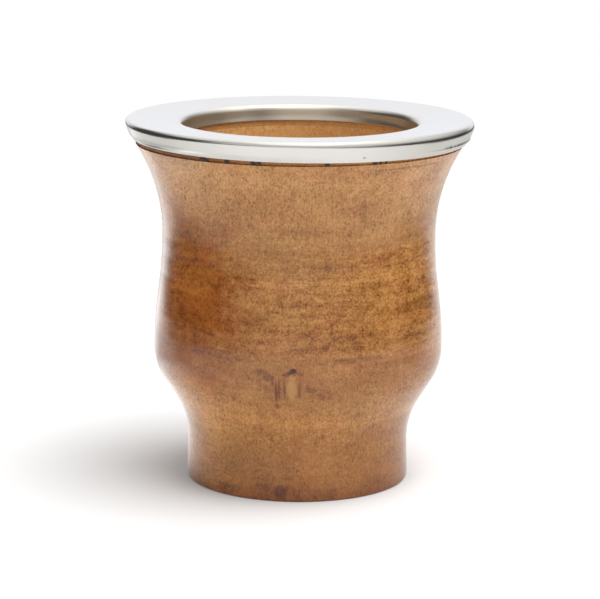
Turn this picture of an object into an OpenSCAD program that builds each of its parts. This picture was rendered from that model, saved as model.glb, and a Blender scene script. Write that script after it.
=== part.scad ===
// Turned wooden mate cup with a pressed metal rim glued and crimped over its flared lip.
// Millimetres, +Z up, origin at the centre of the base, front towards -Y.

/* [Overall] */
// Height from the base to the top of the metal rim
cup_h = 90; // [87:0.5:96]
// Largest diameter of the metal rim
rim_d = 85.5; // [82:0.5:90]

/* [Wooden body] */
// Diameter of the foot at the base
foot_d = 55; // [52:0.2:58]
// Diameter of the neck above the foot
neck_d = 54.6; // [52:0.2:57]
// Radius of the rounded edge around the base
foot_edge_r = 0.6; // [0.2:0.1:1.5]
// Radius of the hollow sweep from the neck to the cone
sweep_r = 21; // [14:0.5:24]
// Lean of the cone under the belly, in degrees from upright
cone_lean = 32; // [28:0.5:35]
// Radius of the round shoulder from the cone to the belly
shoulder_r = 14.8; // [10:0.2:17]
// Diameter of the belly
belly_d = 71.2; // [69.6:0.2:74]
// Height of the belly's widest ring
belly_z = 33.4; // [32:0.2:38]
// Diameter of the waist
waist_d = 67.4; // [65:0.2:69]
// Height of the waist
waist_z = 61.8; // [56:0.2:66]
// Thickness of the wooden floor under the round bowl
floor_t = 12.5; // [9:0.5:18]

/* [Metal rim] */
// Diameter of the mouth where the flange bends down into it
mouth_d = 60.6; // [59:0.2:62]
// Radius of the bend from the flange into the mouth
lip_r = 1.5; // [1.2:0.1:2]
// Slope at which the bend passes into the bowed throat, in degrees from level
lip_slope = 48; // [40:1:50]
// Inside diameter of the collar at the foot of the throat
throat_d = 56.4; // [55.4:0.2:57.2]
// Depth of the collar's lower edge below the top of the rim
throat_depth = 4.65; // [4.5:0.05:6]
// Height of the straight collar
collar_h = 1.5; // [1.2:0.1:1.8]
// Fall of the flange towards the mouth, in degrees
flange_fall = 3.3; // [2:0.1:4]
// Radius of the rolled outer edge
roll_r = 1.3; // [1.1:0.1:1.6]
// Depth of the outer skirt below the top of the rim
skirt_depth = 5.05; // [4.8:0.05:7]
// Lean of the skirt towards the wood, in degrees from upright
skirt_lean = 21; // [14:1:26]
// Height of the crimped hem at the foot of the skirt
hem_h = 1.6; // [1.2:0.1:2]
// Lean of the crimped hem, in degrees from upright
hem_lean = 35; // [30:1:40]
// Radius of the bend between the skirt and the hem
hem_r = 2; // [1.2:0.1:2.4]
// Thickness of the sheet metal
sheet_t = 0.7; // [0.5:0.05:0.7]

/* [Glue] */
// Thickness of the glue bed between the wood and the metal
glue_t = 0.2; // [0.1:0.05:0.25]
// Height of the V groove turned in the wood under the skirt
groove_h = 1; // [0.6:0.1:1.8]
// Depth of the V groove
groove_depth = 0.3; // [0.1:0.05:0.5]

/* [Hidden] */

// Facets of a full turn, and the finest step along an arc in degrees and in millimetres
turn_fn = 180;
arc_step = 2;
arc_chord = 0.35;

// The front faces -Y: an azimuth of 0 degrees there, positive towards +X
front_turn = -90;

// Glue squeezed out into the groove: [azimuth, width] in degrees
beads = [[-33.5, 3.2], [-24.6, 1.7], [-15.4, 1.6], [-13.4, 1.4], [9.1, 1.7], [25.8, 1.6], [28, 0.8], [30, 0.9]];
bead_swell = 0.12;

foot_r = foot_d / 2;
neck_r = neck_d / 2;
belly_r = belly_d / 2;
waist_r = waist_d / 2;
mouth_r = mouth_d / 2;
throat_r = throat_d / 2;

// Depth of the wood's seat under the visible face of the metal
seat_depth = sheet_t + glue_t;

// Rim section, [radius, height]: roll, lip, bowed throat, crimped hem and the skirt's lower edge
flange_turn = 90 + flange_fall;
lip_turn = 90 + lip_slope;
throat_z = cup_h - throat_depth;
skirt_z = cup_h - skirt_depth;
roll_c = [rim_d / 2 - roll_r, cup_h - roll_r];
flange_top = roll_c + roll_r * facing(flange_turn);
flange_end = [mouth_r, flange_top.y - (flange_top.x - mouth_r) * tan(flange_fall)];
lip_c = flange_end - lip_r * facing(flange_turn);
lip_foot = lip_c + lip_r * facing(lip_turn);
bow_run = lip_foot - [throat_r, throat_z + collar_h];
bow_slope = 2 * atan2(bow_run.y, bow_run.x) - lip_slope;
bow_r = bow_run.y / (cos(lip_slope) - cos(bow_slope));
bow_c = lip_foot - bow_r * facing(lip_turn);
skirt_top = roll_c + roll_r * facing(-skirt_lean);
hem_top = slide_down(skirt_top, skirt_lean, skirt_z + hem_h);
hem_c = hem_top - hem_r * facing(-skirt_lean);
rim_foot = slide_down(hem_c + hem_r * facing(-hem_lean), hem_lean, skirt_z);

// Body section, [radius, height]: neck sweep, shoulder, belly and waist swells, flare
cone_run = (belly_r - neck_r - (sweep_r + shoulder_r) * (1 - cos(cone_lean))) / sin(cone_lean);
neck_z = belly_z - (sweep_r + shoulder_r) * sin(cone_lean) - cone_run * cos(cone_lean);
sweep_c = [neck_r + sweep_r, neck_z];
shoulder_c = [belly_r - shoulder_r, belly_z];
swell_r = bend_radius(waist_z - belly_z, belly_r - waist_r) / 2;
swell_turn = asin((waist_z - belly_z) / 2 / swell_r);
flare_r = bend_radius(rim_foot.y - waist_z, rim_foot.x - waist_r);
flare_c = [waist_r + flare_r, waist_z];
groove_z = skirt_z - groove_h;
flare_turn = asin((groove_z - waist_z) / flare_r);

// V groove, [radius, height]: its lower edge, its bottom, and where it meets the skirt's edge
groove_foot = flare_c + flare_r * facing(180 - flare_turn);
groove_floor = groove_foot + groove_depth * [-1, 0.5];
groove_head = rim_foot - sheet_t / 3 * facing(-hem_lean);

// Bowl, bored straight down from the throat and round at the bottom
bore_r = throat_r + seat_depth;
bowl_c = [0, floor_t + bore_r];

// Unit vector at an angle in the section plane
function facing(turn) = [cos(turn), sin(turn)];

// Point at a given height on a line that runs down and inwards from a start point
function slide_down(start, lean, z) = [start.x - (start.y - z) * tan(lean), z];

// Radius of the arc that starts upright and moves sideways by a run over a rise
function bend_radius(rise, run) = (rise * rise + run * run) / (2 * run);

// Angle at which the bowed throat, at a depth under its face, meets the collar
function bow_turn(depth) = 180 - acos((bow_c.x - throat_r - depth) / (bow_r - depth));

// Points along an arc about a centre, from one angle to another
function arc(centre, radius, from, to) =
    let (step = max(arc_step, arc_chord / radius * 180 / PI), count = ceil(abs(to - from) / step))
    [for (i = [0:count]) centre + radius * facing(from + (to - from) * i / count)];

// The same points in the other order
function backwards(points) = [for (i = [len(points) - 1:-1:0]) points[i]];

// The rim's section at a depth under its visible face, from the throat over the flange to the hem
function rim_line(depth) = concat(
    [[throat_r + depth, throat_z]],
    arc(bow_c, bow_r - depth, bow_turn(depth), lip_turn),
    rest(arc(lip_c, lip_r - depth, lip_turn, flange_turn)),
    arc(roll_c, roll_r - depth, flange_turn, 0),
    rest(arc(roll_c, roll_r - depth, 0, -skirt_lean)),
    arc(hem_c, hem_r - depth, -skirt_lean, -hem_lean),
    [rim_foot - depth * facing(-hem_lean)]);

// The wood's outside, from the base up to the groove under the skirt
function body_line() = concat(
    arc([foot_r - foot_edge_r, foot_edge_r], foot_edge_r, -90, 0),
    arc(sweep_c, sweep_r, 180, 180 - cone_lean),
    arc(shoulder_c, shoulder_r, -cone_lean, 0),
    rest(arc([belly_r - swell_r, belly_z], swell_r, 0, swell_turn)),
    rest(arc([waist_r + swell_r, waist_z], swell_r, 180 + swell_turn, 180)),
    rest(arc(flare_c, flare_r, 180, 180 - flare_turn)),
    [groove_floor, groove_head]);

// All points but the first, where two arcs share it
function rest(points) = [for (i = [1:len(points) - 1]) points[i]];

// A ring-shaped solid from a closed section
module turned(section, angle = 360) {
    rotate_extrude(angle = angle, $fn = turn_fn) polygon(section);
}

// Cup of turned wood: foot, belly, waist, flared lip cut back for the metal, and a bored bowl
module wooden_body() {
    color("#b5824f")
        turned(concat([[0, 0]], body_line(), backwards(rim_line(seat_depth)), arc(bowl_c, bore_r, 0, -90)));
}

// One-piece sheet rim: collar, bowed throat, dished flange, rolled edge and crimped skirt
module metal_rim() {
    color("#dcdcdc") turned(concat(rim_line(0), backwards(rim_line(sheet_t))));
}

// Glue that fills the channel between the wood's seat and the metal
module glue_bed() {
    color("#8a7a55") turned(concat(rim_line(sheet_t), backwards(rim_line(seat_depth))));
}

// Dark beads of glue squeezed out into the groove under the skirt
module glue_beads() {
    swell = (groove_foot + rim_foot) / 2 + bead_swell * facing(-hem_lean);
    color("#3c3836")
        for (bead = beads)
            rotate([0, 0, front_turn + bead[0] - bead[1] / 2])
                turned([groove_floor, groove_foot, swell, rim_foot, groove_head], bead[1]);
}

wooden_body();
metal_rim();
glue_bed();
glue_beads();
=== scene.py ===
"""Mate cup: turned wood with a spun metal rim and dark glue beads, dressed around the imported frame.

Sections are in millimetres, as [radius, height], and meshes are in metres. Azimuths are degrees from
the front, which faces -Y, and grow towards +X.
"""

from math import acos, asin, atan2, cos, degrees, radians, sin, tan

import bpy
import numpy as np
from mathutils import Matrix, Vector


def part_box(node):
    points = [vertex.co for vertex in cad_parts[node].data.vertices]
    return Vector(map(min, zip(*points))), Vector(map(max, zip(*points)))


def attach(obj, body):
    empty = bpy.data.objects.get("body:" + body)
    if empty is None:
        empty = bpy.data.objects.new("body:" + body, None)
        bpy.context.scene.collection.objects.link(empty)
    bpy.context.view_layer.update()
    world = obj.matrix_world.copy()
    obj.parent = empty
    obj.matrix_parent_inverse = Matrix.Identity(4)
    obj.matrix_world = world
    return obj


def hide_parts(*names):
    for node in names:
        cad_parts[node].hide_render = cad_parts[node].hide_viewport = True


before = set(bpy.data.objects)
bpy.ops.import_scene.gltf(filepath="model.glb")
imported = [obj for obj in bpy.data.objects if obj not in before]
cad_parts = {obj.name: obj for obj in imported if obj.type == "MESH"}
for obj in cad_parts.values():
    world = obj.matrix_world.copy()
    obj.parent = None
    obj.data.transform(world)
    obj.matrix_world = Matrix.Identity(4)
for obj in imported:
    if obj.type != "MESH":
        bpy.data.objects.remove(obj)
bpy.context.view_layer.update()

MM = 0.001

# Heights and radii that the frame gives
rim_low, rim_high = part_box("metal_rim")
CUP_H = rim_high.z / MM
RIM_R = rim_high.x / MM
SKIRT_Z = rim_low.z / MM

# Wooden body
FOOT_R = 27.6
FOOT_EDGE_R = 0.6
NECK_R = 27.4
SWEEP_R = 21.0
CONE_LEAN = 32.0
SHOULDER_R = 14.8
BELLY_R = 35.85
BELLY_Z = 33.4
WAIST_R = 33.75
WAIST_Z = 61.8
FLOOR_T = 12.5
BORE_R = 28.85

# Metal rim
MOUTH_R = 30.45
LIP_R = 1.65
LIP_SLOPE = 86.0
THROAT_R = 28.7
THROAT_DEPTH = 4.65
COLLAR_H = 0.35
FLANGE_FALL = 3.3
ROLL_R = 1.07
SKIRT_LEAN = 21.0
HEM_H = 1.6
HEM_LEAN = 35.0
HEM_R = 2.0
SHEET_T = 0.7
SEAT_DEPTH = 0.9

# Unevenness of the rim: the roll grows and the skirt's edge falls towards the right. The hem has a bead,
# with swells as [azimuth, spread, height]
ROLL_GAIN = 0.43
ROLL_FROM = -0.55
ROLL_TO = 0.6
SKIRT_TILT = 0.38
HEM_BEAD_RISE = 1.1
HEM_BEAD_WIDTH = 0.22
HEM_BEAD_SWELLS = [[78, 34, 0.18], [-65, 25, 0.08]]

# Curl of the sleeve's foot towards the mouth
CURL_RISE = 0.1
CURL_WIDTH = 0.5
CURL_SWELL = 0.2

# Groove under the skirt, and the glue beads in it as [azimuth, width, swell]
GROOVE_H = 1.0
GROOVE_DEPTH = 0.3
GROOVE_CUT = np.array([-1, 0.5])
GROOVE_HEAD_DEPTH = SHEET_T / 3
GLUE_BEADS = [
    [-33.5, 3.2, 0.16], [-24.6, 1.7, 0.12], [-15.4, 1.6, 0.12], [-13.4, 1.4, 0.14],
    [9.1, 1.7, 0.12], [25.8, 1.6, 0.12], [28.0, 0.8, 0.08], [30.0, 0.9, 0.08],
]
GLUE_RIPPLE = 0.15
GLUE_RIPPLES = 5

# Facets of a full turn, steps along a section, and the angle from which an edge is sharp
WOOD_FACETS = 256
RIM_FACETS = 384
FLOOR_FACETS = 96
GLUE_RINGS = 16
GLUE_SIDES = 14
ARC_STEP = 3.0
WOOD_STEP = 1.2
RIM_STEP = 0.5
HEM_POINTS = 14
COLLAR_POINTS = 4
SAME_PLACE = 1e-6
SHARP_EDGE = 35


def facing(turn):
    """Unit vector at an angle, in degrees, in the section plane."""
    return np.array([cos(radians(turn)), sin(radians(turn))])


def arc(centre, radius, start, end):
    """Points along an arc: the centre plus the radius times the unit vector at evenly spaced angles."""
    count = int(np.ceil(abs(end - start) / ARC_STEP)) + 1
    turn = np.radians(np.linspace(start, end, count))
    return np.asarray(centre) + radius * np.stack([np.cos(turn), np.sin(turn)], axis=1)


def slide_down(start, lean, height):
    """Point at a height on a line that runs down and inwards from a start point."""
    return np.array([start[0] - (start[1] - height) * tan(radians(lean)), height])


def bend_radius(rise, run):
    """Radius of the arc that starts upright and moves sideways by a run over a rise."""
    return (rise * rise + run * run) / (2 * run)


def joined(*stretches):
    """One section from stretches in order, without the points where two of them meet twice."""
    section = np.concatenate([np.atleast_2d(stretch) for stretch in stretches])
    gap = np.linalg.norm(np.diff(section, axis=0), axis=1)
    return section[np.concatenate([[True], gap > SAME_PLACE])]


def stations(section, longest):
    """Places along a section, counted in its points. Even steps are added where two points are further
    apart than the longest step, but none within a quarter of it from a point."""
    along = np.concatenate([[0], np.cumsum(np.linalg.norm(np.diff(section, axis=0), axis=1))])
    even = np.linspace(0, along[-1], int(along[-1] / longest) + 2)
    clear = np.abs(even[:, None] - along[None, :]).min(axis=1) > longest / 4
    return np.interp(np.sort(np.concatenate([along, even[clear]])), along, np.arange(len(section)))


def picked(section, places):
    """Points of a section at places that are counted in its points, also between two of them."""
    counted = np.arange(len(section))
    return np.stack([np.interp(places, counted, section[:, i]) for i in (0, 1)], axis=1)


def rim_shape(roll_r=ROLL_R, skirt_z=SKIRT_Z):
    """Centres of the roll's and the hem's arcs, and the skirt's lower edge."""
    roll_c = np.array([RIM_R - roll_r, CUP_H - roll_r])
    hem_top = slide_down(roll_c + roll_r * facing(-SKIRT_LEAN), SKIRT_LEAN, skirt_z + HEM_H)
    hem_c = hem_top - HEM_R * facing(-SKIRT_LEAN)
    foot = slide_down(hem_c + HEM_R * facing(-HEM_LEAN), HEM_LEAN, skirt_z)
    return roll_c, hem_c, foot


# Mouth section: the lip bends down from the flange into the throat, a nearly upright arc above a collar
rim_roll, _, rim_foot = rim_shape()
flange_turn = 90 + FLANGE_FALL
lip_turn = 90 + LIP_SLOPE
flange_top = rim_roll + ROLL_R * facing(flange_turn)
flange_end = np.array([MOUTH_R, flange_top[1] - (flange_top[0] - MOUTH_R) * tan(radians(FLANGE_FALL))])
lip_c = flange_end - LIP_R * facing(flange_turn)
lip_foot = lip_c + LIP_R * facing(lip_turn)
sleeve_z = CUP_H - THROAT_DEPTH
throat_run, throat_drop = lip_foot - np.array([THROAT_R, sleeve_z + COLLAR_H])
bow_slope = 2 * degrees(atan2(throat_drop, throat_run)) - LIP_SLOPE
bow_r = throat_drop / (cos(radians(LIP_SLOPE)) - cos(radians(bow_slope)))
bow_c = lip_foot - bow_r * facing(lip_turn)

# Body section: neck sweep, shoulder, belly and waist swells, flare, groove and bowl
bends_r = SWEEP_R + SHOULDER_R
cone_run = BELLY_R - NECK_R - bends_r * (1 - cos(radians(CONE_LEAN)))
neck_z = BELLY_Z - bends_r * sin(radians(CONE_LEAN)) - cone_run / tan(radians(CONE_LEAN))
swell_r = bend_radius(WAIST_Z - BELLY_Z, BELLY_R - WAIST_R) / 2
swell_turn = degrees(asin((WAIST_Z - BELLY_Z) / 2 / swell_r))
flare_r = bend_radius(rim_foot[1] - WAIST_Z, rim_foot[0] - WAIST_R)
flare_c = np.array([WAIST_R + flare_r, WAIST_Z])
flare_turn = degrees(asin((SKIRT_Z - GROOVE_H - WAIST_Z) / flare_r))
groove_foot = flare_c + flare_r * facing(180 - flare_turn)
groove_floor = groove_foot + GROOVE_DEPTH * GROOVE_CUT
groove_head = rim_foot - GROOVE_HEAD_DEPTH * facing(-HEM_LEAN)
bowl_c = np.array([0, FLOOR_T + BORE_R])


def rim_line(depth, roll_r=ROLL_R, skirt_z=SKIRT_Z):
    """The rim's section at a depth under its visible face, from the throat over the flange to the hem."""
    roll_c, hem_c, foot = rim_shape(roll_r, skirt_z)
    bow_turn = 180 - degrees(acos((bow_c[0] - THROAT_R - depth) / (bow_r - depth)))
    throat = arc(bow_c, bow_r - depth, bow_turn, lip_turn)
    hem_top = hem_c + HEM_R * facing(-HEM_LEAN)
    return joined(
        np.linspace([THROAT_R + depth, sleeve_z], throat[0], COLLAR_POINTS),
        throat,
        arc(lip_c, LIP_R - depth, lip_turn, flange_turn),
        arc(roll_c, roll_r - depth, flange_turn, 0),
        arc(roll_c, roll_r - depth, 0, -SKIRT_LEAN),
        arc(hem_c, HEM_R - depth, -SKIRT_LEAN, -HEM_LEAN),
        np.linspace(hem_top, foot, HEM_POINTS) - depth * facing(-HEM_LEAN))


def body_line():
    """The wood's outside, from the base up to the groove under the skirt."""
    return joined(
        arc([FOOT_R - FOOT_EDGE_R, FOOT_EDGE_R], FOOT_EDGE_R, -90, 0),
        arc([NECK_R + SWEEP_R, neck_z], SWEEP_R, 180, 180 - CONE_LEAN),
        arc([BELLY_R - SHOULDER_R, BELLY_Z], SHOULDER_R, -CONE_LEAN, 0),
        arc([BELLY_R - swell_r, BELLY_Z], swell_r, 0, swell_turn),
        arc([WAIST_R + swell_r, WAIST_Z], swell_r, 180 + swell_turn, 180),
        arc(flare_c, flare_r, 180, 180 - flare_turn),
        groove_floor,
        groove_head)


def mesh_piece(name, points, faces, material):
    """A smooth-shaded object at the origin, from points in millimetres and faces as lists of corners."""
    mesh = bpy.data.meshes.new(name)
    mesh.from_pydata((points * MM).tolist(), [], faces)
    mesh.validate()
    mesh.polygons.foreach_set("use_smooth", np.ones(len(mesh.polygons), dtype=bool))
    mesh.set_sharp_from_angle(angle=radians(SHARP_EDGE))
    mesh.materials.append(material)
    piece = bpy.data.objects.new(name, mesh)
    bpy.context.collection.objects.link(piece)
    return piece


def even_turns(count):
    """Azimuths in radians, evenly spaced round a full turn."""
    return np.linspace(0, 2 * np.pi, count, endpoint=False)


def around(radius, height, turn):
    """Points on rings: a radius and a height at an azimuth in radians go to (r sin a, -r cos a, z)."""
    return np.stack([radius * np.sin(turn), -radius * np.cos(turn), height + 0 * turn], axis=-1)


def quads(rows, columns, rows_close=True, columns_close=True):
    """Corner numbers of the squares between neighbouring rows and columns of a grid, which may close."""
    row = np.arange(rows if rows_close else rows - 1)[:, None]
    column = np.arange(columns if columns_close else columns - 1)[None, :]
    next_row = (row + 1) % rows
    next_column = (column + 1) % columns
    corners = [row * columns + column, next_row * columns + column,
               next_row * columns + next_column, row * columns + next_column]
    return np.stack(np.broadcast_arrays(*corners), axis=-1).reshape(-1, 4).tolist()


def fan(tip, ring, backwards=False):
    """Corner numbers of the triangles from a tip to each side of a closed ring."""
    following = np.roll(ring, -1)
    sides = [following, ring] if backwards else [ring, following]
    return np.stack([np.full_like(ring, tip), *sides], axis=1).tolist()


# Sockets of a Mix node that works on colours
MIX_SHARE, MIX_FIRST, MIX_SECOND = 0, 6, 7
MIX_COLOUR = 2


class Shade:
    """One output of a shader node. Arithmetic on it adds Math nodes to the same tree."""

    def __init__(self, tree, socket=None):
        self.tree = tree
        self.socket = socket

    def node(self, kind, settings=None, sockets=None, output=0):
        """Adds a node: its settings first, then its sockets' values or links. Gives one of its outputs."""
        made = self.tree.nodes.new(kind)
        for name, value in (settings or {}).items():
            if name == "stops":
                while len(made.color_ramp.elements) < len(value):
                    made.color_ramp.elements.new(0.5)
                for stop, (place, colour) in zip(made.color_ramp.elements, value):
                    stop.position = place
                    stop.color = (*colour, 1)
            else:
                setattr(made, name, value)
        for name, value in (sockets or {}).items():
            if isinstance(value, Shade):
                self.tree.links.new(value.socket, made.inputs[name])
            else:
                made.inputs[name].default_value = value
        return Shade(self.tree, made.outputs[output])

    def math(self, operation, *values):
        return self.node("ShaderNodeMath", {"operation": operation}, dict(enumerate(values)))

    def __add__(self, other):
        return self.math("ADD", self, other)

    def __radd__(self, other):
        return self.math("ADD", other, self)

    def __sub__(self, other):
        return self.math("SUBTRACT", self, other)

    def __rsub__(self, other):
        return self.math("SUBTRACT", other, self)

    def __mul__(self, other):
        return self.math("MULTIPLY", self, other)

    def __rmul__(self, other):
        return self.math("MULTIPLY", other, self)

    def __truediv__(self, other):
        return self.math("DIVIDE", self, other)

    def __rtruediv__(self, other):
        return self.math("DIVIDE", other, self)

    def __pow__(self, other):
        return self.math("POWER", self, other)

    def __rpow__(self, other):
        return self.math("POWER", other, self)

    def __abs__(self):
        return self.math("ABSOLUTE", self)

    def larger(self, other):
        return self.math("MAXIMUM", self, other)

    def graded(self, base, gain):
        """A base value plus a gain where this one is one."""
        return base + gain * self

    def smooth(self, low, high, to_low=0.0, to_high=1.0):
        """Eases from one value to another while this one goes from low to high."""
        sockets = {"Value": self, "From Min": low, "From Max": high, "To Min": to_low, "To Max": to_high}
        return self.node("ShaderNodeMapRange", {"interpolation_type": "SMOOTHSTEP"}, sockets)

    def window(self, opening, closing):
        """One between two soft edges, and nought before the opening and after the closing."""
        return self.smooth(*opening) * self.smooth(*closing, 1, 0)

    def hump(self, centre, half_width):
        """One at the centre, falling smoothly to nought at the half width on either side."""
        return abs(self - centre).smooth(0, half_width, 1, 0)

    def scaled(self, factors):
        """A vector with its three components multiplied."""
        return self.node("ShaderNodeVectorMath", {"operation": "MULTIPLY"}, {0: self, 1: factors})

    def noise(self, cells, detail, roughness):
        """Cloudy noise around a half, with a number of cells per unit along each axis."""
        sockets = {"Vector": self.scaled(cells), "Scale": 1, "Detail": detail, "Roughness": roughness}
        return self.node("ShaderNodeTexNoise", None, sockets)

    def swing(self, cells, detail, roughness):
        """The same noise around nought."""
        return self.noise(cells, detail, roughness) - 0.5

    def parts(self):
        """The three components of a vector."""
        split = self.node("ShaderNodeSeparateXYZ", None, {0: self})
        return [Shade(self.tree, split.socket.node.outputs[i]) for i in range(3)]

    def mix(self, way, share, first, second):
        """A colour made from two in one of a Mix node's ways, with a share of the second."""
        settings = {"data_type": "RGBA", "blend_type": way}
        sockets = {MIX_SHARE: share, MIX_FIRST: colour_value(first), MIX_SECOND: colour_value(second)}
        return self.node("ShaderNodeMix", settings, sockets, MIX_COLOUR)

    def tinted(self, tone, share=1.0):
        """This colour multiplied by a tone, as far as the share says."""
        return self.mix("MULTIPLY", share, self, tone)

    def blend(self, low, high):
        """A colour between two, with this value as the share of the second."""
        return self.mix("MIX", self, low, high)


def colour_value(colour):
    """A colour as a socket takes it: a link as it is, three numbers with an alpha of one."""
    return colour if isinstance(colour, Shade) else (*colour, 1)


def new_material(name):
    """An empty node material, its output socket and a Shade to start from."""
    material = bpy.data.materials.new(name)
    material.use_nodes = True
    tree = material.node_tree
    tree.nodes.clear()
    output = tree.nodes.new("ShaderNodeOutputMaterial")
    return material, output.inputs["Surface"], Shade(tree)


def show(shader, surface):
    """Links a finished shader to a material's or world's output."""
    shader.tree.links.new(shader.socket, surface)


def place_in_mm(start):
    """Object coordinates in millimetres."""
    position = start.node("ShaderNodeTexCoord", None, None, "Object")
    return position.scaled((1 / MM, 1 / MM, 1 / MM))


def azimuth_of(x, y):
    """Degrees from the front, -Y, positive towards +X."""
    return x.math("ARCTAN2", x, 0 - y) * degrees(1)


# Wood colours, linear. Those from the blush to the painted groove shade multiply the tan, and so does the
# raw inside, which is partly painted light
WOOD_DARK = (0.200, 0.066, 0.018)
WOOD_MID = (0.470, 0.208, 0.056)
WOOD_LIGHT = (0.680, 0.362, 0.138)
WOOD_OVAL = (0.46, 0.225, 0.070)
WOOD_BARE_AND_LIT = (0.58, 0.295, 0.102)
WOOD_BLUSH = (1.00, 0.90, 0.98)
WOOD_STAIN = (0.80, 0.57, 0.32)
WOOD_BAND = (0.68, 0.62, 0.46)
WOOD_PALE_AND_LIT_TONE = (1.36, 1.43, 1.55)
WOOD_PORE = (0.50, 0.40, 0.38)
WOOD_KNOT = (0.50, 0.36, 0.42)
WOOD_CORE = (0.25, 0.22, 0.30)
WOOD_GROOVE_SHADE = (0.42, 0.31, 0.19)
WOOD_RAW_AND_LIT = (1.95, 2.65, 3.50)
WOOD_TONES = [(0.05, WOOD_DARK), (0.5, WOOD_MID), (0.95, WOOD_LIGHT)]

# Tones along the height, from the base to the rim, as (share of the height, colour)
WOOD_LEVELS = [
    (0.00, (0.42, 0.29, 0.15)), (0.06, (0.62, 0.50, 0.265)), (0.12, (0.70, 0.595, 0.35)),
    (0.24, (0.92, 0.90, 0.69)), (0.36, (0.67, 0.585, 0.465)), (0.52, (0.715, 0.66, 0.56)),
    (0.70, (0.81, 0.78, 0.66)), (0.88, (0.93, 0.97, 0.97)),
]

# Dark level bands, and pale patches, as [azimuth, half width, height, half height, strength]. Of the pale
# patches, the three low on the left are painted bounce light and the band across the front of the neck is
# a painted sheen
WOOD_BANDS = [
    [58, 22, 47.5, 1.5, 0.8], [54, 24, 40.3, 1.2, 0.8], [20, 16, 37.0, 1.0, 0.7],
    [-15, 9, 63.5, 4.5, 0.45], [36, 26, 34.6, 1.0, 0.4], [6, 20, 29.0, 6.5, 0.4],
    [-15, 9, 46.0, 3.0, 0.5], [-18, 26, 35.0, 3.0, 0.35],
]
WOOD_PALE_AND_LIT_PATCHES = [
    [-49, 25, 22, 11, 1.0], [-62, 27, 7, 9, 1.0], [-50, 34, 1.5, 6, 1.0], [50, 40, 82, 12, 0.3],
    [-55, 16, 51.5, 4.5, 0.6], [50, 20, 58, 5, 0.45], [0, 120, 20.2, 1.6, 0.38],
]

# Dark marks, the knot's black cores and the tan oval under them, in the same way
WOOD_MARKS = [
    [-1.7, 2.0, 34.4, 0.9, 1.0], [-4.4, 1.8, 33.7, 0.7, 0.9], [1.0, 1.6, 33.9, 0.5, 0.6],
    [-5.0, 0.6, 30.2, 3.6, 0.8], [0.7, 0.6, 29.8, 2.4, 0.8], [-8.3, 0.6, 28.8, 3.8, 1.0],
    [-7.1, 0.6, 29.9, 3.0, 0.8], [-8.3, 1.2, 25.4, 1.2, 0.7], [-14.0, 3.6, 34.1, 0.9, 0.7],
    [-11.6, 2.6, 32.7, 1.1, 0.7], [-9.6, 0.8, 32.0, 1.7, 0.8], [-14.9, 1.1, 31.0, 2.0, 0.4],
    [-12.3, 1.1, 30.0, 1.8, 0.5], [5.4, 2.8, 29.8, 0.9, 0.7], [3.8, 0.9, 30.4, 0.9, 0.7],
    [9.5, 1.9, 28.3, 1.1, 0.5], [12.8, 1.0, 27.6, 0.7, 0.6], [10.7, 1.3, 40.2, 0.7, 0.8],
    [12.2, 0.9, 40.8, 0.7, 0.55], [42.0, 24.0, 82.4, 0.3, 0.6], [-17.0, 1.1, 18.4, 0.7, 0.7],
    [-8.5, 4.2, 2.4, 2.1, 0.9], [-15.0, 2.6, 3.4, 1.3, 0.4], [-40.0, 5.0, 2.0, 1.6, 0.6],
    [18.0, 3.4, 2.0, 1.6, 0.5],
]
WOOD_CORES = [[-1.6, 1.3, 34.6, 0.75, 1.0], [-2.8, 1.0, 34.0, 0.5, 0.8], [-8.2, 0.5, 25.6, 0.8, 0.5]]
WOOD_OVALS = [[-2.2, 2.3, 30.2, 3.4, 0.75]]
SPOT_EDGE = (0.1, 1.2)

# Raggedness of the spots' edges
STAIN_RAGGED = 1.6
PATCH_RAGGED = 0.3
FRAY = 2
OVAL_FRAY = 0.2
MARK_FRAY = 0.6
CORE_FRAY = 0.4

# Noises in the wood, as (cells per millimetre along each axis), detail, roughness
WAVER_NOISE = (0.04, 0.04, 0.05), 2, 0.5
LAYER_NOISE = (0.03, 0.02, 0.45), 2, 0.6
LINE_NOISE = (0.13, 0.06, 1.5), 2, 0.6
TICK_NOISE = (2.2, 0.45, 1.4), 3, 0.7
DOT_NOISE = (2.1, 0.45, 2.0), 3, 0.7
MOTTLE_NOISE = (0.55, 0.2, 0.75), 2, 0.6
RAY_NOISE = (1.5, 0.12, 0.08), 2, 0.5
CLOUD_NOISE = (0.10, 0.10, 0.10), 2, 0.5
RAGGED_NOISE = (0.16, 0.16, 0.22), 3, 0.6
FRAY_NOISE = (0.9, 0.5, 0.7), 3, 0.7
BLUSH_NOISE = (0.12, 0.12, 0.16), 3, 0.6
CLUSTER_NOISE = (0.16, 0.16, 0.24), 2, 0.6
PORE_NOISE = (2.2, 0.6, 1.7), 2, 0.6

# How far the level layers waver, in millimetres, and where noises turn into lines, a blush and pores
WAVER = 5
LINE_EDGE = (0.55, 0.72)
BLUSH_EDGE = (0.45, 0.68)
CLUSTER_EDGE = (0.38, 0.58, 0.35, 1)
PORE_EDGE = (0.56, 0.66)

# Weight of each noise in the wood's tone, as (weight, what the middle of the height adds to it)
TONE_MEAN = 0.53
LAYER_WEIGHT = (0.3, 0.7)
LINE_WEIGHT = (0.05, 0.17)
TICK_WEIGHT = (1.25, -0.65)
DOT_WEIGHT = (0.5, 1.6)
MOTTLE_WEIGHT = (0.5, 0.5)
RAY_WEIGHT = (0.3, -0.1)
CLOUD_WEIGHT = 0.6
PORE_WEIGHT = (1, -0.8)
MIDDLE_LOW = (32, 40)
MIDDLE_HIGH = (54, 70)

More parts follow.
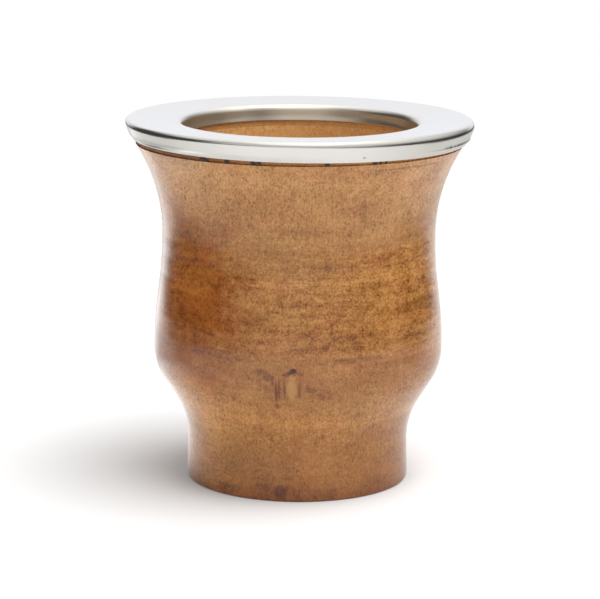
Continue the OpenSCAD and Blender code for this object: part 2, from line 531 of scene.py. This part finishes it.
# The stain on the left, as [azimuth, half width, height, half height], and how it fades lines and dots
STAIN = [-56, 40, 49, 25]
STAIN_EDGE = (0.15, 1.15)
STAIN_END = (-5, 10, 1, 0)
STAINED_LINES = (1, -0.6)
STAINED_DOTS = (1, -0.35)

# Painted shade in the groove under the skirt: a dark strip from just under the groove's foot, weaker
# towards the right, where the light comes from
GROOVE_SHADE_FROM = -0.05
GROOVE_SHADE_TO = 0.1
GROOVE_SHADE_FADE = (-35, 25, 1, 0.35)

# The inside: how far it reaches past the bore, and how its bare colour, partly painted light, follows the
# layers
INSIDE_FROM = 0.05
INSIDE_TO = 0.15
INSIDE_LAYERS = (0.5, 0.5)
INSIDE_EDGE = (0.3, 0.7, 0.45, 0.75)

# Lacquer: glossier below the flare, and dull in the shaded groove
LACQUER_ROUGHNESS = (58, 72, 0.17, 0.30)
STRIP_ROUGHNESS = 0.5
LACQUER_IOR = 1.5
RELIEF_STRENGTH = 0.15
RELIEF_DEPTH = 0.1


def oval(turn, height, place):
    """Square of the distance from an oval's centre, counted so that it is one on the oval's edge."""
    azimuth, half_width, level, half_height = place
    return ((turn - azimuth) / half_width) ** 2 + ((height - level) / half_height) ** 2


def spots(turn, height, places, raggedness):
    """The strongest of several soft ovals, whose edges the raggedness moves in and out."""
    strongest = None
    for *place, strength in places:
        spot = (oval(turn, height, place) + raggedness).smooth(*SPOT_EDGE, strength, 0)
        strongest = strongest.larger(spot) if strongest else spot
    return strongest


def lacquered_wood():
    """Tan wood under a satin lacquer: level growth layers, fine pores, rays, a dark stain and a knot, with
    painted shade in the groove under the skirt, and painted bounce light and a painted sheen in some pale
    patches. The bowl's inside is the same wood, paler, without the lacquer's tint; its paleness is partly
    painted light."""
    material, surface, start = new_material("lacquered_wood")
    place = place_in_mm(start)
    x, y, z = place.parts()
    turn = azimuth_of(x, y)

    height = z + place.swing(*WAVER_NOISE) * WAVER
    grain = start.node("ShaderNodeCombineXYZ", None, {0: x, 1: y, 2: height})
    layers = grain.swing(*LAYER_NOISE)
    lines = grain.noise(*LINE_NOISE).smooth(*LINE_EDGE)
    ticks = grain.swing(*TICK_NOISE)
    dots = grain.swing(*DOT_NOISE)
    mottle = grain.swing(*MOTTLE_NOISE)
    rays = place.swing(*RAY_NOISE)
    clouds = place.swing(*CLOUD_NOISE)
    ragged = place.swing(*RAGGED_NOISE) * STAIN_RAGGED
    frayed = grain.swing(*FRAY_NOISE) * FRAY

    stain = (oval(turn, z, STAIN) + ragged).smooth(*STAIN_EDGE, 1, 0) * turn.smooth(*STAIN_END)
    middle = z.window(MIDDLE_LOW, MIDDLE_HIGH)
    tone = (TONE_MEAN
            + layers * middle.graded(*LAYER_WEIGHT)
            - lines * middle.graded(*LINE_WEIGHT) * stain.graded(*STAINED_LINES)
            + ticks * middle.graded(*TICK_WEIGHT)
            + dots * middle.graded(*DOT_WEIGHT) * stain.graded(*STAINED_DOTS)
            + mottle * middle.graded(*MOTTLE_WEIGHT)
            + rays * middle.graded(*RAY_WEIGHT)
            + clouds * CLOUD_WEIGHT)
    colour = start.node("ShaderNodeValToRGB", {"stops": WOOD_TONES}, {0: tone})
    colour = colour.tinted(start.node("ShaderNodeValToRGB", {"stops": WOOD_LEVELS}, {0: z / CUP_H}))
    colour = colour.tinted(WOOD_BLUSH, place.noise(*BLUSH_NOISE).smooth(*BLUSH_EDGE))
    colour = colour.tinted(WOOD_STAIN, stain)
    colour = colour.tinted(WOOD_BAND, spots(turn, height, WOOD_BANDS, ragged))
    # Pale patches: the three low on the left are painted bounce light, the band across the neck a painted
    # sheen
    colour = colour.tinted(WOOD_PALE_AND_LIT_TONE, spots(turn, z, WOOD_PALE_AND_LIT_PATCHES, ragged * PATCH_RAGGED))

    clusters = place.noise(*CLUSTER_NOISE).smooth(*CLUSTER_EDGE)
    pores = grain.noise(*PORE_NOISE).smooth(*PORE_EDGE) * clusters * middle.graded(*PORE_WEIGHT)
    colour = colour.tinted(WOOD_PORE, pores)
    colour = spots(turn, z, WOOD_OVALS, frayed * OVAL_FRAY).blend(colour, WOOD_OVAL)
    colour = colour.tinted(WOOD_KNOT, spots(turn, z, WOOD_MARKS, frayed * MARK_FRAY))
    colour = colour.tinted(WOOD_CORE, spots(turn, z, WOOD_CORES, frayed * CORE_FRAY))
    # Painted shade in the groove under the skirt, weaker towards the right
    groove_shade = z.smooth(groove_foot[1] + GROOVE_SHADE_FROM, groove_foot[1] + GROOVE_SHADE_TO) * x.smooth(*GROOVE_SHADE_FADE)
    colour = colour.tinted(WOOD_GROOVE_SHADE, groove_shade)

    # The bowl's inside: bare wood, paler partly as painted light that makes up for the shade in the bowl
    below_bowl = (bowl_c[1] - z).larger(0)
    from_bore = (x * x + y * y + below_bowl * below_bowl) ** 0.5
    inside = from_bore.smooth(BORE_R + INSIDE_FROM, BORE_R + INSIDE_TO, 1, 0)
    bare_and_lit = layers.graded(*INSIDE_LAYERS).smooth(*INSIDE_EDGE)
    colour = inside.blend(colour, bare_and_lit.blend(colour.tinted(WOOD_RAW_AND_LIT), WOOD_BARE_AND_LIT))

    bumps = {"Strength": RELIEF_STRENGTH, "Distance": RELIEF_DEPTH * MM, "Height": ticks + dots}
    relief = start.node("ShaderNodeBump", None, bumps)
    roughness = z.smooth(*LACQUER_ROUGHNESS) + groove_shade * STRIP_ROUGHNESS
    finish = {"Base Color": colour, "Roughness": roughness, "IOR": LACQUER_IOR, "Normal": relief}
    show(start.node("ShaderNodeBsdfPrincipled", None, finish), surface)
    return material


# Metal colours, linear, and the tones that multiply them on the skirt, in the sleeve and in marks. Most
# marks are painted dark reflections, painted dimmer reflection or painted shade
METAL_DARK = (0.794, 0.770, 0.708)
METAL_LIGHT = (0.806, 0.782, 0.722)
SKIRT_TONE = (0.816, 0.820, 0.850)
ENDS_DIM_REFLECTION_TONE = (0.80, 0.80, 0.78)
LEFT_DIM_REFLECTION_TONE = (0.70, 0.70, 0.69)
SKIRT_DARK_REFLECTION_TONE = (0.60, 0.60, 0.60)
CREASE_SHADE_AND_NICK_TONE = (0.10, 0.10, 0.09)
SLEEVE_TONE = (0.90, 0.84, 0.74)
SLEEVE_DARK_REFLECTION_TONE = (0.66, 0.64, 0.63)

# Rings from spinning, and roughness: the lip, the sleeve and the skirt add to that of the rings
RING_NOISE = (5, 5, 5), 3, 0.7
RING_EDGE = (0.3, 0.7)
RING_ROUGHNESS = (0.3, 0.7, 0.17, 0.20)
LIP_ROUGHNESS = (30.2, 31.4, 0.10, 0)
SLEEVE_ROUGHNESS = 0.02
SKIRT_ROUGHNESS = 0.04
SKIRT_GLANCE = (0.75, 0.75, 0.75, 1)

# Radii where the sleeve ends and where the skirt may start, and depths below the top where it does
SLEEVE_EDGE = (28.8, 29.6, 1, 0)
SKIRT_EDGE = (37, 38)
SKIRT_UNDER = 1.3
SKIRT_OVER = 1.0

# Painted dark reflections in the sleeve, as azimuths
DARK_REFLECTION_BACK = (-160, 14)
DARK_REFLECTION_RIGHT = (157, 17)
DARK_REFLECTION_RIGHT_RISE = (86.0, 86.8, 0.3, 1)
DARK_REFLECTION_LEFT_OPENS = (-146, -132)
DARK_REFLECTION_LEFT_CLOSES = (-100, -85, 0.75, 0)

# Skirt: azimuths of its darker ends, a painted dimmer reflection, and of its marks, and the marks' heights
# above its lower edge. The marks are painted dark reflections, painted shade along a crease and a line,
# and a nick
ENDS_FROM = (10, 48)
LEFT_END = (-115, -90), (-68, -56)
SKIRT_DARK_REFLECTION = (-80, -70), (-46, -36)
SKIRT_DARK_REFLECTION_RISE = (0.9, 1.3)
HEM_DARK_REFLECTION = (-58, -48), (-38, -28)
HEM_DARK_REFLECTION_RISE = (0.4, 1.0, 0.8, 0)
CREASE_NOISE = (0.45, 0, 0), 2, 0.6
CREASE_DASHES = (0.42, 0.56)
CREASE_WHOLE = (60, 66)
CREASE = (53, 56), (86, 98)
CREASE_RISE = (1.5, 0.5)
LEFT_LINE = (-58, 15)
LEFT_LINE_RISE = (0.55, 0.4)
NICK = (21, 0.6)
NICK_RISE = (1.2, 0.3)


def spun_metal():
    """Satin metal with faint concentric lines from spinning: a polished flange, lip and sleeve, with
    painted dark reflections in the sleeve, and a brushed skirt with a painted dimmer reflection towards
    its ends, painted dark reflections low on its left, painted shade along a crease and a line, and a
    nick."""
    material, surface, start = new_material("spun_metal")
    x, y, z = place_in_mm(start).parts()
    radius = (x * x + y * y) ** 0.5
    turn = azimuth_of(x, y)
    rings = start.node("ShaderNodeCombineXYZ", None, {0: radius, 1: z}).noise(*RING_NOISE)
    metal = rings.smooth(*RING_EDGE).blend(METAL_DARK, METAL_LIGHT)
    roughness = rings.smooth(*RING_ROUGHNESS)

    sleeve = radius.smooth(*SLEEVE_EDGE)
    # Painted dark reflections in the sleeve, at the back, on the right and on the left
    dark_reflection_right = turn.hump(*DARK_REFLECTION_RIGHT) * z.smooth(*DARK_REFLECTION_RIGHT_RISE)
    dark_reflection_left = turn.smooth(*DARK_REFLECTION_LEFT_OPENS) * turn.smooth(*DARK_REFLECTION_LEFT_CLOSES)
    sleeve_dark_reflection = turn.hump(*DARK_REFLECTION_BACK).larger(dark_reflection_right).larger(dark_reflection_left) * sleeve
    polished = start.node("ShaderNodeBsdfPrincipled", None, {
        "Base Color": metal.tinted(SLEEVE_TONE, sleeve).tinted(SLEEVE_DARK_REFLECTION_TONE, sleeve_dark_reflection),
        "Metallic": 1.0,
        "Roughness": roughness + radius.smooth(*LIP_ROUGHNESS) + sleeve * SLEEVE_ROUGHNESS})

    above_edge = z - SKIRT_Z + x / radius * SKIRT_TILT
    # Painted dark reflections low on the skirt's left and on its hem
    skirt_dark_reflection = turn.window(*SKIRT_DARK_REFLECTION) * above_edge.hump(*SKIRT_DARK_REFLECTION_RISE)
    hem_dark_reflection = turn.window(*HEM_DARK_REFLECTION) * above_edge.smooth(*HEM_DARK_REFLECTION_RISE)
    # Painted shade along a crease on the right and a line on the left, and a dark nick, in one tone
    dashes = turn.noise(*CREASE_NOISE).smooth(*CREASE_DASHES).larger(turn.smooth(*CREASE_WHOLE))
    crease_shade = above_edge.hump(*CREASE_RISE) * dashes * turn.window(*CREASE)
    left_shade_line = above_edge.hump(*LEFT_LINE_RISE) * turn.hump(*LEFT_LINE)
    nick = turn.hump(*NICK) * above_edge.hump(*NICK_RISE)
    colour = metal.tinted(SKIRT_TONE)
    # Painted dimmer reflection towards the skirt's ends, and more of it on the left
    colour = colour.tinted(ENDS_DIM_REFLECTION_TONE, abs(turn).smooth(*ENDS_FROM))
    colour = colour.tinted(LEFT_DIM_REFLECTION_TONE, turn.window(*LEFT_END))
    colour = colour.tinted(SKIRT_DARK_REFLECTION_TONE, skirt_dark_reflection.larger(hem_dark_reflection))
    colour = colour.tinted(CREASE_SHADE_AND_NICK_TONE, crease_shade.larger(left_shade_line).larger(nick))
    brushed = start.node("ShaderNodeBsdfPrincipled", None, {
        "Base Color": colour,
        "Metallic": 1.0,
        "Roughness": roughness + SKIRT_ROUGHNESS,
        "Specular Tint": SKIRT_GLANCE})

    skirt = radius.smooth(*SKIRT_EDGE) * z.smooth(CUP_H - SKIRT_UNDER, CUP_H - SKIRT_OVER, 1, 0)
    show(start.node("ShaderNodeMixShader", None, {0: skirt, 1: polished, 2: brushed}), surface)
    return material


# Glue
GLUE_DARK = (0.024, 0.015, 0.011)
GLUE_DUSTY = (0.070, 0.050, 0.040)
DUST_NOISE = (2.5, 2.5, 2.5), 3, 0.6
DUST_EDGE = (0.35, 0.7)
GLUE_ROUGHNESS = 0.7
GLUE_SHINE = 0.25


def cured_glue():
    """Dull near-black glue with dust in it."""
    material, surface, start = new_material("cured_glue")
    dust = place_in_mm(start).noise(*DUST_NOISE).smooth(*DUST_EDGE)
    finish = {"Base Color": dust.blend(GLUE_DARK, GLUE_DUSTY), "Roughness": GLUE_ROUGHNESS,
              "Specular IOR Level": GLUE_SHINE}
    show(start.node("ShaderNodeBsdfPrincipled", None, finish), surface)
    return material


def turned_cup(material):
    """The wooden body: its closed section, from the axis under the base round to the axis in the bowl,
    carried round the upright axis, with a fan of triangles at each end."""
    ledge = [BORE_R, sleeve_z]
    bowl = arc(bowl_c, BORE_R, 0, -90)
    section = joined([0, 0], body_line(), rim_line(SEAT_DEPTH)[::-1], ledge, bowl)
    section = picked(section, stations(section, WOOD_STEP))
    rings = section[1:-1]
    columns = len(rings)
    points = around(rings[:, 0], rings[:, 1], even_turns(WOOD_FACETS)[:, None]).reshape(-1, 3)
    ends = [[0, 0, section[0, 1]], [0, 0, section[-1, 1]]]
    lowest = np.arange(WOOD_FACETS) * columns
    faces = quads(WOOD_FACETS, columns, columns_close=False)
    faces += fan(len(points), lowest, backwards=True)
    faces += fan(len(points) + 1, lowest + columns - 1)
    return mesh_piece("turned_cup", np.concatenate([points, ends]), faces, material)


def rim_ring(roll_r=ROLL_R, skirt_z=SKIRT_Z):
    """The rim's closed section: along the visible face from hem to throat, and back behind the sheet."""
    return joined(rim_line(0, roll_r, skirt_z)[::-1], rim_line(SHEET_T, roll_r, skirt_z))


def spun_rim(material):
    """The metal rim: a closed section carried round the axis. At an azimuth it is the plain section, plus
    an eased share of its change to a fatter roll, plus a share of its change to a lower skirt. A bead on
    the hem and a curl at the sleeve's foot fall off like a bell with the distance from their lines. The
    points of the visible face come first in the section."""
    plain = rim_ring()
    places = stations(plain, RIM_STEP)
    turn = even_turns(RIM_FACETS)[:, None]
    rightness = np.sin(turn)[..., None]
    fatter = picked(rim_ring(roll_r=ROLL_R + ROLL_GAIN) - plain, places)
    lower = picked(rim_ring(skirt_z=SKIRT_Z - SKIRT_TILT) - plain, places)
    growth = np.clip((rightness - ROLL_FROM) / (ROLL_TO - ROLL_FROM), 0, 1)
    section = picked(plain, places) + growth ** 2 * (3 - 2 * growth) * fatter + rightness * lower
    visible = places < len(rim_line(0)) - 0.5
    above_edge = section[..., 1] - section[:, :1, 1]
    bead = visible * np.exp(-((above_edge - HEM_BEAD_RISE) / HEM_BEAD_WIDTH) ** 2)
    for azimuth, spread, height in HEM_BEAD_SWELLS:
        aside = (np.degrees(turn) - azimuth + 180) % 360 - 180
        section += (height * bead * np.exp(-(aside / spread) ** 2))[..., None] * facing(-HEM_LEAN)
    above_foot = section[..., 1] - sleeve_z
    in_mouth = visible * (section[..., 0] < MOUTH_R)
    section[..., 0] -= CURL_SWELL * in_mouth * np.exp(-((above_foot - CURL_RISE) / CURL_WIDTH) ** 2)
    points = around(section[..., 0], section[..., 1], turn)
    return mesh_piece("spun_rim", points.reshape(-1, 3), quads(RIM_FACETS, len(places)), material)


def glue_bead(azimuth, width, swell):
    """Points of one bead: rings of an oval section, whose girth follows a half circle along the bead, and
    then its two ends. The oval reaches up to the skirt, down to the groove's foot, out by the swell and in
    by the groove's depth, and a wave along the bead makes its height uneven."""
    along = np.linspace(-1, 1, GLUE_RINGS + 2)[1:-1, None]
    round_turn = even_turns(GLUE_SIDES)[None, :]
    middle = (groove_foot + rim_foot) / 2
    upwards = (rim_foot - groove_foot) / 2
    girth = np.sqrt(1 - along ** 2)
    rise = girth * np.sin(round_turn) * (1 + GLUE_RIPPLE * np.sin(GLUE_RIPPLES * along + azimuth))
    reach = girth * np.cos(round_turn)
    reach = reach * np.where(reach > 0, swell, GROOVE_DEPTH)
    section = middle + rise[..., None] * upwards + reach[..., None] * facing(-HEM_LEAN)
    turn = np.radians(azimuth + along * width / 2) + 0 * round_turn
    rings = around(section[..., 0], section[..., 1], turn).reshape(-1, 3)
    end_turn = np.radians(azimuth + np.array([-1, 1]) * width / 2)
    return np.concatenate([rings, around(np.full(2, middle[0]), np.full(2, middle[1]), end_turn)])


def squeezed_glue(material):
    """The beads of glue in the groove, each closed at its two ends by fans of triangles."""
    side = np.arange(GLUE_SIDES)
    squares = np.array(quads(GLUE_RINGS, GLUE_SIDES, rows_close=False))
    points, faces = np.zeros((0, 3)), []
    for bead in GLUE_BEADS:
        first = len(points)
        end = first + GLUE_RINGS * GLUE_SIDES
        faces += (squares + first).tolist()
        faces += fan(end, first + side)
        faces += fan(end + 1, end - GLUE_SIDES + side, backwards=True)
        points = np.concatenate([points, glue_bead(*bead)])
    return mesh_piece("squeezed_glue", points, faces, material)


def dress():
    """Makes the pieces that stand for the frame's nodes and gives every node its finish."""
    wood, metal, glue = lacquered_wood(), spun_metal(), cured_glue()
    pieces = [
        (turned_cup(wood), "wooden_body", "wood"),
        (spun_rim(metal), "metal_rim", "rim_metal"),
        (squeezed_glue(glue), "glue_beads", "glue"),
    ]
    for piece, node, slot in pieces:
        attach(piece, "root")
        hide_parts(node)
    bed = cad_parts["glue_bed"]
    bed.data.materials.clear()
    bed.data.materials.append(glue)


# Camera, fitted to the photograph
CAMERA_PLACE = (0.00041, -0.6194, 0.1741)
CAMERA_DOWN = 11.829
CAMERA_ROLL = 0.483
CAMERA_LENS = 152.6
CAMERA_SENSOR = 36
CAMERA_REACH = 20


def place_camera():
    """A camera in front of the cup and a little above its rim."""
    data = bpy.data.cameras.new("camera")
    data.lens = CAMERA_LENS
    data.sensor_width = CAMERA_SENSOR
    data.clip_end = CAMERA_REACH
    camera = bpy.data.objects.new("camera", data)
    camera.location = CAMERA_PLACE
    pitch = Matrix.Rotation(radians(90 - CAMERA_DOWN), 4, "X")
    roll = Matrix.Rotation(radians(CAMERA_ROLL), 4, "Z")
    camera.rotation_euler = (pitch @ roll).to_euler()
    bpy.context.collection.objects.link(camera)
    bpy.context.scene.camera = camera


# Level of the dark parts of the studio, as light and in reflections
LOW_LEVEL = 0.05

# Floor, in metres: its disc, how far it keeps its shadow, and how much it is lifted
FLOOR_RADIUS = 3.0
FLOOR_COLOUR = (0.67, 0.67, 0.67, 1)
FLOOR_FAR = (0.2, 0.5)
FLOOR_LIFT = 0.08
MIRRORED_LIFT = 0.1

# Floor in reflections: the white lane's half width, glows behind on the left, and dark wedges behind
LANE_HALF = 0.32
LANE_SOFT = 0.06
BEHIND = (-0.03, 0.02)
NEAR_GLOW_OPENS = (-0.13, -0.10)
NEAR_GLOW_CLOSES = (-0.045, -0.015, 0.85, 0)
NEAR_GLOW_ENDS = (0.05, 0.09, 1, 0)
FAR_GLOW_SLANT = 0.45
FAR_GLOW_EDGE = (0, 0.025, 0, 1.9)
FAR_GLOW_FROM = (0.08, 0.30)
WEDGE_SLANT = 0.35
WEDGE_EDGE = (0.15, 0.22)
WEDGE_SHARE = 0.75

# World as light: levels, and the directions that they ease between
KEY_FROM = (0.27, -0.07, 0.96)
KEY_EDGE = (0.86, 0.96)
KEY_LEVEL = 7.0
HIGH_EDGE = (0.35, 0.9)
HIGH_LEVEL = 0.6
BACK_EDGE = (0.87, 0.97)
BACK_RISE = (0.35, 0.8)
BACK_LEVEL = 1.05
FRONT_EDGE = (-0.2, -0.8)
FRONT_LEVEL = 0.9

# World in reflections, in the same way
WALL_EDGE = (0.70, 0.98)
WALL_MIRRORED = 0.963
WALL_TINT = (1.0, 1.02, 1.10)
WHITE = (1, 1, 1)
SLOPE_SIDE = (0.1, 0.5)
SLOPE_RISE = (-0.1, 0.65)
SLOPE_MIRRORED = 0.75
BOX_SIDE = (0.30, 0.50, 1, 0)
BOX_RISE = (0.40, 0.68)
BOX_MIRRORED = 1.1
DOME_RISE = (0.40, 0.82)
DOME_MIRRORED = 0.85
AHEAD_MIRRORED = 0.6
LEAST_ACROSS = 0.0001


def shown_rays(start):
    """One for camera rays, and one for rays that show the studio in a reflection or through glass."""
    outputs = start.node("ShaderNodeLightPath").socket.node.outputs
    names = ("Is Camera Ray", "Is Glossy Ray", "Is Transmission Ray")
    camera, glossy, through = [Shade(start.tree, outputs[name]) for name in names]
    return camera, glossy.larger(through)


def studio_floor():
    """A pale disc under the cup that keeps its shadow and reads as white further out. In reflections it is
    a white lane that runs from front to back, dark beside it, with two glows on the left behind the cup
    and a dark wedge on either side there."""
    material, surface, start = new_material("studio_floor")
    material.cycles.emission_sampling = "NONE"
    camera, mirrored = shown_rays(start)
    place = start.node("ShaderNodeTexCoord", None, None, "Object")
    x, y, _ = place.parts()
    behind = y.smooth(*BEHIND)

    near_glow = (x.smooth(*NEAR_GLOW_OPENS) * x.smooth(*NEAR_GLOW_CLOSES)
                 * behind * y.smooth(*NEAR_GLOW_ENDS))
    far_glow = (0 - x - y * FAR_GLOW_SLANT).smooth(*FAR_GLOW_EDGE) * y.smooth(*FAR_GLOW_FROM)
    level = camera * FLOOR_LIFT + mirrored * (MIRRORED_LIFT + near_glow + far_glow)
    lift = start.node("ShaderNodeEmission", None, {"Color": level})
    diffuse = start.node("ShaderNodeBsdfDiffuse", None, {"Color": FLOOR_COLOUR})
    near = start.node("ShaderNodeAddShader", None, {0: diffuse, 1: lift})

    white = start.node("ShaderNodeEmission")
    distance = start.node("ShaderNodeVectorMath", {"operation": "LENGTH"}, {0: place}, "Value")
    far = distance.smooth(*FLOOR_FAR) * (camera + mirrored)
    pale = start.node("ShaderNodeMixShader", None, {0: far, 1: near, 2: white})

    dark = start.node("ShaderNodeEmission", None, {"Strength": LOW_LEVEL})
    wedge = (abs(x) - y * WEDGE_SLANT).smooth(*WEDGE_EDGE) * behind * WEDGE_SHARE
    off_lane = abs(x).smooth(LANE_HALF - LANE_SOFT, LANE_HALF + LANE_SOFT)
    beside = off_lane.larger(wedge) * mirrored
    show(start.node("ShaderNodeMixShader", None, {0: beside, 1: pale, 2: dark}), surface)

    radius = np.full(FLOOR_FACETS, FLOOR_RADIUS / MM)
    edge = around(radius, np.zeros(FLOOR_FACETS), even_turns(FLOOR_FACETS))
    floor = mesh_piece("studio_floor", edge, [list(range(FLOOR_FACETS))], material)


def studio_world():
    """White where the camera sees it. As light: a soft key high on the right, a white back, a paler front
    and top, and dark sides. In reflections: a white back, a box and a dome overhead, a pale right side and
    a grey front."""
    world = bpy.data.worlds.new("studio")
    bpy.context.scene.world = world
    world.use_nodes = True
    world.node_tree.nodes.clear()
    output = world.node_tree.nodes.new("ShaderNodeOutputWorld")
    start = Shade(world.node_tree)
    camera, mirrored = shown_rays(start)
    direction = start.node("ShaderNodeTexCoord", None, None, "Generated")
    x, y, z = direction.parts()
    across = (x * x + y * y).larger(LEAST_ACROSS) ** 0.5
    backwards = y / across
    sideways = x / across

    towards_key = start.node("ShaderNodeVectorMath", {"operation": "DOT_PRODUCT"},
                             {0: direction, 1: Vector(KEY_FROM).normalized()}, "Value")
    key = towards_key.smooth(*KEY_EDGE) * KEY_LEVEL
    high = z.smooth(*HIGH_EDGE) * HIGH_LEVEL
    back = backwards.smooth(*BACK_EDGE) * z.smooth(*BACK_RISE, BACK_LEVEL, HIGH_LEVEL)
    towards_front = backwards.smooth(*FRONT_EDGE)
    lit = high.larger(back).larger(towards_front * FRONT_LEVEL).larger(LOW_LEVEL) + key

    wall = backwards.smooth(*WALL_EDGE) * WALL_MIRRORED
    slope = sideways.smooth(*SLOPE_SIDE) * z.smooth(*SLOPE_RISE) * SLOPE_MIRRORED
    box = abs(x).smooth(*BOX_SIDE) * z.smooth(*BOX_RISE) * BOX_MIRRORED
    dome = z.smooth(*DOME_RISE) * DOME_MIRRORED
    ahead = towards_front * AHEAD_MIRRORED
    seen = wall.larger(box).larger(dome).larger(slope).larger(ahead).larger(LOW_LEVEL)

    level = camera + mirrored * seen + (1 - camera - mirrored) * lit
    tint = (wall * mirrored).smooth(0, WALL_MIRRORED).blend(WHITE, WALL_TINT)
    background = start.node("ShaderNodeBackground", None, {"Color": tint, "Strength": level})
    show(background, output.inputs["Surface"])


dress()
place_camera()
studio_floor()
studio_world()
bpy.context.scene.view_settings.view_transform = "Standard"
